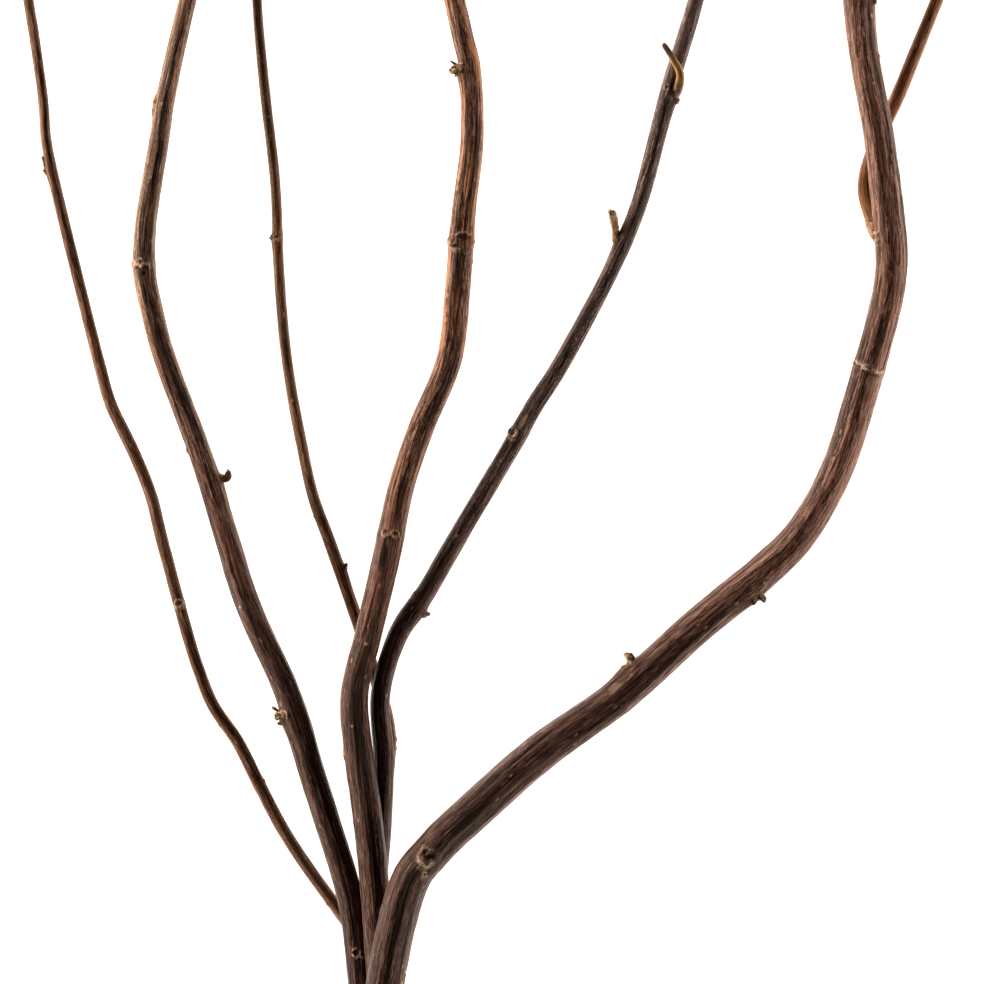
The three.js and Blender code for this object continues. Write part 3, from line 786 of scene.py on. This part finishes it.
def grow_stub(bm, stem_course, stub):
    root, out, along, half = out_of(stem_course, stem_course.where(stub.y), stub.angle)
    tilt = radians(stub.lean)
    axis = out * cos(tilt) + along * sin(tilt)
    bent = (axis + along * stub.hook).normalized()
    buried = 0.5 * half
    middle = root + axis * stub.length * 0.55
    tip = middle + bent * stub.length * 0.45
    line = [
        (*(root - (out * 2 + along * sin(tilt)).normalized() * buried), stub.width),
        (*root, stub.width),
        (*middle, stub.width * 0.92),
        (*tip, stub.width * (0.86 - 0.38 * stub.hook)),
    ]
    course = Course(line)
    places = np.linspace(0, course.length, 9 + round(stub.length * 2.2))
    shape = stub_skin(course, stub, buried)
    caps = roll_tube(bm, course, places, STUB_SIDES, shape, out.cross(along))
    end = max(caps, key=lambda cap: (cap.calc_center_median() / MM - root).dot(axis))
    narrow_cap(bm, end, 0.74, 0)
    # The broken end's sunk middle gets painted shade.
    narrow_cap(bm, end, 0.66, 0.22 * stub.width, 0.85)
    bmesh.ops.poke(bm, faces=[end])


def grow_shoot(bm, stem_course, shoot):
    course = Course(shoot.course)
    gaps = [np.linalg.norm(stem_course.line - point, axis=1).min() for point in course.line]
    halves = course.widths / 2
    leaves = int(np.argmax(np.array(gaps) > 0.5 * halves + 0.25 * stem_course.widths.max()))
    base = float(course.reach[leaves])
    places = ring_places(course.length, [(base, FINE_REACH)], SHOOT_STEP)
    caps = roll_tube(bm, course, places, shoot.sides, shoot_skin(course, base, shoot))
    if shoot.bud:
        grow_buds(bm, course, max(BARE_BASE, course.where(FIRST_SHOOT_BUD)), SHOOT_BUD_GAP)
    else:
        narrow_cap(bm, caps[-1], 0.6, 0)
        bmesh.ops.poke(bm, faces=[caps[-1]])


def grow_buds(bm, course, first, apart):
    """Buds along the young end of a course, each turned on from the last as willow buds are."""
    places = np.arange(first, course.length - BARE_TIP, apart)
    for k, s in enumerate(places):
        angle = 90 + BUD_TURN * k + 12 * sin(3 * k)
        root, out, along, half = out_of(course, float(s), angle)
        size = 0.34 + 0.22 * half
        nose = root + along * BUD_LENGTH * (0.6 + 0.2 * half) + out * 0.25 * size
        belly = root.lerp(nose, 0.5) + out * 0.45 * size
        line = [(*(root - out * 0.3 * half), 1), (*belly, 1), (*nose, 1)]
        bud = Course(line)
        shape = bud_skin(bud, size)
        roll_tube(bm, bud, np.linspace(0, bud.length, 9), BUD_SIDES, shape, out.cross(along))


def join_growth(stem, growth):
    """Grows the stubs, shoots and buds into the stem, so that each stem is one closed skin."""
    fuse = stem.modifiers.new("fuse", "BOOLEAN")
    fuse.operation = "UNION"
    fuse.solver = "MANIFOLD"
    fuse.object = growth
    shown = stem.evaluated_get(bpy.context.evaluated_depsgraph_get())
    mesh = bpy.data.meshes.new_from_object(shown)
    stem.modifiers.clear()
    stem.data = mesh
    bpy.data.objects.remove(growth)


def fine_places(stem, course):
    """The places along a stem that need close corners, each with how far each way."""
    places = []
    for mark in stem.marks:
        if isinstance(mark, Ring):
            places.append((course.where(mark.y), RING_REACH))
        elif not isinstance(mark, Streak):
            places.append((course.where(mark.y), min(FINE_REACH, reach_of(mark))))
    return places


def build_stem(stem, materials):
    course = Course(stem.course)
    name = stem.node + "_wood"
    worn = [materials[stem.bark], materials["cut_wood"]]
    step = STEP * 1
    places = ring_places(course.length, fine_places(stem, course), step)
    start = YOUNG_START if "slender" in name else 0
    bm = bmesh.new()
    caps = roll_tube(bm, course, places, stem.sides, stem_skin(stem, course), start=start)
    trim_butt(bm, caps[0])
    made = finish_tubes(bm, name, worn)
    bm = bmesh.new()
    for mark in stem.marks:
        if isinstance(mark, Stub):
            grow_stub(bm, course, mark)
    for shoot in stem.shoots:
        grow_shoot(bm, course, shoot)
    grow_buds(bm, course, course.where(FIRST_BUD), BUD_GAP)
    join_growth(made, finish_tubes(bm, name + "_growth", worn))
    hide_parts(stem.node)
    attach(made, "root")


# ---- Materials ----

RELIEF = 0.35  # mm, how deep the bark's finest fibres are
OLD_RIDGE = (0.22, 0.105, 0.085, 1)  # the mauve brown of ridges on old wood
STRINGS = (0.15, 0.085, 0.037, 1)  # dark strings in ochre skin
HEALED = (0.62, 0.44, 0.31, 1)
HEALED_SHADE = (0.3, 0.18, 0.11, 1)
# Near-black painted shade, for hollows and the tops of stems.
HOLLOW_SHADE = (0.013, 0.008, 0.0055, 1)
BARE_WOOD = (0.38, 0.28, 0.17, 1)
BARE_SHADE = (0.24, 0.16, 0.09, 1)
YEAR_RING = (0.17, 0.1, 0.05, 1)
PITH = (0.12, 0.065, 0.035, 1)
OCHRE = (0.36, 0.22, 0.075)

# A bark's colours: its dark core, lit ridges, pale bloom, young skin and ochre skin. The last two
# values are how strong the ridges and the bloom are.
Bark = namedtuple("Bark", "core ridge bloom young ochre ridges blooming")
BARKS = {
    "dark_bark": Bark(
        (0.04, 0.0142, 0.0084), (0.21, 0.098, 0.062), (0.4, 0.225, 0.17),
        (0.25, 0.085, 0.03), OCHRE, 0.8, 0.85),
    "red_brown_bark": Bark(
        (0.04, 0.014, 0.008), (0.27, 0.125, 0.068), (0.36, 0.23, 0.165),
        (0.16, 0.056, 0.022), OCHRE, 0.8, 0.85),
    "olive_bark": Bark(
        (0.046, 0.014, 0.0072), (0.19, 0.074, 0.037), (0.34, 0.21, 0.15),
        (0.12, 0.042, 0.017), OCHRE, 0.7, 0.7),
    "orange_bark": Bark(
        (0.043, 0.0138, 0.0072), (0.42, 0.16, 0.066), (0.44, 0.26, 0.18),
        (0.2, 0.068, 0.024), OCHRE, 0.85, 0.8),
    "grey_bark": Bark(
        (0.037, 0.0155, 0.011), (0.165, 0.1, 0.079), (0.32, 0.25, 0.22),
        (0.12, 0.05, 0.028), (0.42, 0.215, 0.062), 0.75, 0.8),
}

# What the bark reads of its wood: how far along it a place is, and noises from fine to broad.
# streak is most of the noises weighed together.
Grain = namedtuple("Grain", "place fibre thread patch band fleck streak")


def set_inputs(node, values):
    """Gives a node's inputs plain values, or links where a value is another node's socket."""
    for key, value in values.items():
        if isinstance(value, bpy.types.NodeSocket):
            node.id_data.links.new(value, node.inputs[key])
        else:
            node.inputs[key].default_value = value


def add_node(tree, kind, values=None, **settings):
    """A shader node with its settings made first and its inputs set after them."""
    node = tree.nodes.new("ShaderNode" + kind)
    for name, value in settings.items():
        setattr(node, name, value)
    set_inputs(node, values or {})
    return node


def stretch(tree, vector, around, lengthwise):
    """The place in the wood, in units of around and lengthwise millimetres."""
    scale = (1 / around, 1 / around, 1 / lengthwise)
    return add_node(tree, "VectorMath", {0: vector, 1: scale}, operation="MULTIPLY").outputs[0]


def noise_of(tree, vector, detail, rough=0.55):
    values = {"Vector": vector, "Scale": 1, "Detail": detail, "Roughness": rough}
    return add_node(tree, "TexNoise", values).outputs["Fac"]


def ramp(tree, value, low, high, start=0.0, end=1.0):
    """value, held and spread so that low gives start and high gives end."""
    values = {"Value": value, 1: low, 2: high, 3: start, 4: end}
    node = add_node(tree, "MapRange", values, clamp=True, interpolation_type="SMOOTHSTEP")
    return node.outputs[0]


def calc(tree, operation, a, b, clamped=False):
    return add_node(tree, "Math", {0: a, 1: b}, operation=operation, use_clamp=clamped).outputs[0]


def times(tree, a, b):
    return calc(tree, "MULTIPLY", a, b)


def weigh(tree, first, *others):
    """The sum of values that each come with a share to multiply them by."""
    total = times(tree, *first)
    for value, share in others:
        total = calc(tree, "ADD", total, times(tree, value, share))
    return total


def blend(tree, share, a, b, kind="MIX"):
    values = {0: share, 6: a, 7: b}
    return add_node(tree, "Mix", values, data_type="RGBA", blend_type=kind).outputs[2]


def new_group(name, inputs, outputs):
    """A node group, the sockets that bring its inputs in and the node that takes its outputs."""
    group = bpy.data.node_groups.new(name, "ShaderNodeTree")
    for label, kind in inputs:
        group.interface.new_socket(label, in_out="INPUT", socket_type="NodeSocket" + kind)
    for label, kind in outputs:
        group.interface.new_socket(label, in_out="OUTPUT", socket_type="NodeSocket" + kind)
    given = group.nodes.new("NodeGroupInput").outputs
    return group, given, group.nodes.new("NodeGroupOutput")


def read_grain(tree, grain):
    """How far along the wood a place is, and noises that are drawn out along it."""
    place = add_node(tree, "SeparateXYZ", {0: grain}).outputs["Z"]
    fibre = noise_of(tree, stretch(tree, grain, 0.44, 11), 3, 0.62)
    thread = noise_of(tree, stretch(tree, grain, 0.19, 4.5), 2)
    patch = noise_of(tree, stretch(tree, grain, 2.8, 45), 2)
    band = noise_of(tree, stretch(tree, grain, 2, 75), 1)
    fleck = noise_of(tree, stretch(tree, grain, 0.5, 0.9), 3, 0.7)
    uneven = calc(tree, "SUBTRACT", fleck, 0.5)
    streak = weigh(tree, (fibre, 0.6), (thread, 0.4), (patch, 0.35), (uneven, 0.2))
    return Grain(place, fibre, thread, patch, band, fleck, streak)


def ridge_colour(tree, given, wood):
    """The colour of lit ridges: bloomed in patches, and mauve on old wood near the root."""
    rosy = blend(tree, ramp(tree, wood.patch, 0.42, 0.6), given["Bloom"], given["Ridge"])
    rosy = blend(tree, 0.5, rosy, given["Ridge"])
    return blend(tree, ramp(tree, wood.place, 170, 400, 0.8, 0), rosy, OLD_RIDGE)


def old_skin(tree, given, wood, crease, ridge):
    """Dark fibres, lit ridges and pale hairs, darker in bands and near the root."""
    lit = times(tree, ramp(tree, wood.streak, 0.61, 0.73), given["Ridges"])
    # Painted shade: ridges are less lit in creases.
    lit = calc(tree, "SUBTRACT", lit, times(tree, crease, 0.5), True)
    colour = blend(tree, lit, given["Core"], ridge)
    hair = times(tree, ramp(tree, wood.thread, 0.55, 0.63), ramp(tree, wood.fleck, 0.35, 0.55))
    colour = blend(tree, times(tree, hair, given["Blooming"]), colour, given["Bloom"])
    dark = ramp(tree, weigh(tree, (wood.band, 1), (wood.fibre, 0.3)), 0.68, 0.75, 1, 0.4)
    dark = times(tree, dark, ramp(tree, wood.place, 130, 320, 0.42, 1))
    return blend(tree, 1.0, colour, dark, "MULTIPLY")


def young_skin(tree, given, wood, ridge):
    """Smoother skin with few ridges and thin dark strings."""
    skin = blend(tree, ramp(tree, wood.streak, 0.64, 0.8, 0, 0.6), given["Young"], ridge)
    thin = weigh(tree, (wood.fibre, 0.5), (wood.thread, 0.5))
    return blend(tree, 1.0, skin, ramp(tree, thin, 0.42, 0.52, 0.35, 1), "MULTIPLY")


def pore_mask(tree, grain):
    """1 on the few small pores that lie scattered over the bark."""
    cells = {"Vector": stretch(tree, grain, 2.6, 6.5), "Scale": 1, "Randomness": 1}
    pores = add_node(tree, "TexVoronoi", cells).outputs
    rare = add_node(tree, "SeparateColor", {0: pores["Color"]}).outputs[0]
    spot = ramp(tree, pores["Distance"], 0.1, 0.17, 1, 0)
    return times(tree, spot, ramp(tree, rare, 0.7, 0.72))


def willow_bark_group():
    """Dried willow bark: dark fibres, lit ridges, pale flecks, scars, pits and young skin."""
    inputs = [
        ("Core", "Color"), ("Ridge", "Color"), ("Bloom", "Color"), ("Young", "Color"),
        ("Ochre", "Color"), ("Ridges", "Float"), ("Blooming", "Float"),
    ]
    outputs = [("Color", "Color"), ("Roughness", "Float"), ("Height", "Float")]
    tree, given, out = new_group("willow_bark", inputs, outputs)
    grain = add_node(tree, "Attribute", attribute_name="grain").outputs["Vector"]
    marks = add_node(tree, "Attribute", attribute_name="marks").outputs
    crease = add_node(tree, "Attribute", attribute_name="crease").outputs["Fac"]
    scar, pit, ochre = add_node(tree, "SeparateColor", {0: marks["Color"]}).outputs
    wood = read_grain(tree, grain)
    pore = pore_mask(tree, grain)

    ridge = ridge_colour(tree, given, wood)
    colour = old_skin(tree, given, wood, crease, ridge)
    skin = young_skin(tree, given, wood, ridge)
    colour = blend(tree, times(tree, marks["Alpha"], 0.85), colour, skin)
    stringy = blend(tree, ramp(tree, wood.thread, 0.35, 0.6), STRINGS, given["Ochre"])
    colour = blend(tree, ochre, colour, stringy)
    colour = blend(tree, times(tree, pore, 0.55), colour, given["Bloom"])
    # Pale healed bark, and painted highlight along the sides of some stems.
    worn = times(tree, scar, ramp(tree, wood.fleck, 0.3, 0.6, 0.6, 1))
    healed = blend(tree, ramp(tree, wood.fleck, 0.3, 0.7), HEALED_SHADE, HEALED)
    colour = blend(tree, worn, colour, healed)
    # Painted shade in hollows and along the tops of stems.
    colour = blend(tree, pit, colour, HOLLOW_SHADE)
    # Painted shade in creases.
    colour = blend(tree, 1.0, colour, ramp(tree, crease, 0, 1, 1, 0.45), "MULTIPLY")

    rough = weigh(tree, (ramp(tree, wood.streak, 0.4, 0.8, 0.5, 0.4), 1), (worn, 0.3))
    height = weigh(tree, (wood.fibre, 0.7), (wood.thread, 0.4), (wood.fleck, 0.16), (pore, 0.12))
    set_inputs(out, {"Color": colour, "Roughness": rough, "Height": height})
    return tree


def new_material(name):
    material = bpy.data.materials.new(name)
    material.use_nodes = True
    tree = material.node_tree
    return material, tree, tree.nodes["Principled BSDF"]


def add_relief(tree, surface, height, distance, strength):
    """Feeds a height to the surface's normal. distance is the relief's depth in millimetres."""
    values = {"Height": height, "Distance": distance * MM, "Strength": strength}
    set_inputs(surface, {"Normal": add_node(tree, "Bump", values).outputs[0]})


def bark_material(name, group, look):
    """Bark with its own colours. A warm, weak gloss keeps its fibres from greying in low light."""
    material, tree, surface = new_material(name)
    bark = tree.nodes.new("ShaderNodeGroup")
    bark.node_tree = group
    for key, value in look._asdict().items():
        plain = (*value, 1) if isinstance(value, tuple) else value
        bark.inputs[key.title()].default_value = plain
    set_inputs(surface, {
        "Base Color": bark.outputs["Color"],
        "Roughness": bark.outputs["Roughness"],
        "Specular IOR Level": 0.09,
        "Specular Tint": (1, 0.85, 0.74, 1),
        "Sheen Weight": 0.05,
        "Sheen Roughness": 0.35,
        "Sheen Tint": (1, 0.7, 0.5, 1),
    })
    add_relief(tree, surface, bark.outputs["Height"], RELIEF, 0.75)
    return material


def cut_wood_material():
    """Bare wood across the grain: yearly rings round a soft brown pith."""
    material, tree, surface = new_material("cut_wood")
    grain = add_node(tree, "Attribute", attribute_name="grain").outputs["Vector"]
    flat = add_node(tree, "VectorMath", {0: grain, 1: (1, 1, 0)}, operation="MULTIPLY").outputs[0]
    far = add_node(tree, "VectorMath", {0: flat}, operation="LENGTH").outputs["Value"]
    sway = noise_of(tree, stretch(tree, grain, 1.6, 4), 2)
    bands = times(tree, weigh(tree, (far, 1), (sway, 0.5)), 5.2)
    late = ramp(tree, calc(tree, "SINE", bands, 0), 0.1, 1)
    fine = noise_of(tree, stretch(tree, grain, 0.22, 1), 3, 0.7)
    colour = blend(tree, ramp(tree, fine, 0.3, 0.7), BARE_SHADE, BARE_WOOD)
    colour = blend(tree, times(tree, late, 0.4), colour, YEAR_RING)
    colour = blend(tree, ramp(tree, far, 0.55, 0.85, 1, 0), colour, PITH)
    set_inputs(surface, {"Base Color": colour, "Roughness": 0.75})
    add_relief(tree, surface, fine, 0.25, 0.6)
    return material


def make_materials():
    group = willow_bark_group()
    made = {name: bark_material(name, group, look) for name, look in BARKS.items()}
    made["cut_wood"] = cut_wood_material()
    return made


# ---- Table, light and camera ----

TABLE_SIDE = 60  # metres
TABLE_GLOW = 3.4  # the lit table's light on the stems
TABLE_SHOWN = 1.25  # the same as the camera sees it, which keeps the stems' outlines crisp
LIGHT_COLOUR = (1, 0.9, 0.8)  # warm lamps
VIEW_CENTRE = (0, -0.110)  # metres, the spot on the table under the camera
VIEW_LEVEL = 0.008  # metres over the table, where the picture's span is measured
VIEW_SPAN = 0.3198  # metres across the picture at that level
LENS = 250  # mm
SENSOR = 36  # mm

# A softbox: where it stands, what it points at, its sides in metres and its power in watts.
Softbox = namedtuple("Softbox", "name place aim width height power")
SOFTBOXES = [
    Softbox("left_softbox", (-1.2, 0.4, 0.13), (0, -0.05, 0.01), 1.8, 0.22, 54),
    Softbox("right_softbox", (1.3, -0.1, 0.13), (0, -0.05, 0.01), 1.8, 0.22, 19),
    Softbox("far_left_softbox", (-0.9, 0.9, 0.75), (0, -0.05, 0), 0.8, 0.5, 3),
]


def lay_table():
    bm = bmesh.new()
    bmesh.ops.create_grid(bm, x_segments=1, y_segments=1, size=TABLE_SIDE / 2)
    mesh = bpy.data.meshes.new("table")
    bm.to_mesh(mesh)
    bm.free()
    material, tree, surface = new_material("pale_table")
    seen = add_node(tree, "LightPath").outputs["Is Camera Ray"]
    set_inputs(surface, {
        "Base Color": (0.9, 0.9, 0.9, 1),
        "Roughness": 0.9,
        "Specular IOR Level": 0.1,
        "Emission Color": (1, 0.94, 0.87, 1),
        "Emission Strength": ramp(tree, seen, 0, 1, TABLE_GLOW, TABLE_SHOWN),
    })
    mesh.materials.append(material)
    add_object("table", mesh)


def light_tent():
    """A pale tent that is bright low down all round and nearly dark overhead."""
    world = bpy.data.worlds.new("tent")
    world.use_nodes = True
    bpy.context.scene.world = world
    tree = world.node_tree
    way = add_node(tree, "TexCoord").outputs["Generated"]
    rise = add_node(tree, "SeparateXYZ", {0: way}).outputs["Z"]
    level = ramp(tree, rise, 0.1, 0.5, 0.8, 0.01)
    set_inputs(tree.nodes["Background"], {"Color": (*LIGHT_COLOUR, 1), "Strength": level})


def add_softbox(box):
    light = bpy.data.lights.new(box.name, "AREA")
    light.shape = "RECTANGLE"
    light.size = box.width
    light.size_y = box.height
    light.energy = box.power
    light.color = LIGHT_COLOUR
    made = add_object(box.name, light)
    made.location = box.place
    made.rotation_euler = (Vector(box.aim) - Vector(box.place)).to_track_quat("-Z", "Y").to_euler()
    made.visible_camera = False


def set_camera():
    lens = bpy.data.cameras.new("camera")
    lens.lens = LENS
    lens.sensor_width = SENSOR
    lens.clip_end = 100
    camera = add_object("camera", lens)
    camera.location = (*VIEW_CENTRE, VIEW_LEVEL + VIEW_SPAN * LENS / SENSOR)
    bpy.context.scene.camera = camera


materials = make_materials()
for stem in STEMS:
    build_stem(stem, materials)
lay_table()
light_tent()
for softbox in SOFTBOXES:
    add_softbox(softbox)
set_camera()
bpy.context.scene.view_settings.view_transform = "Standard"
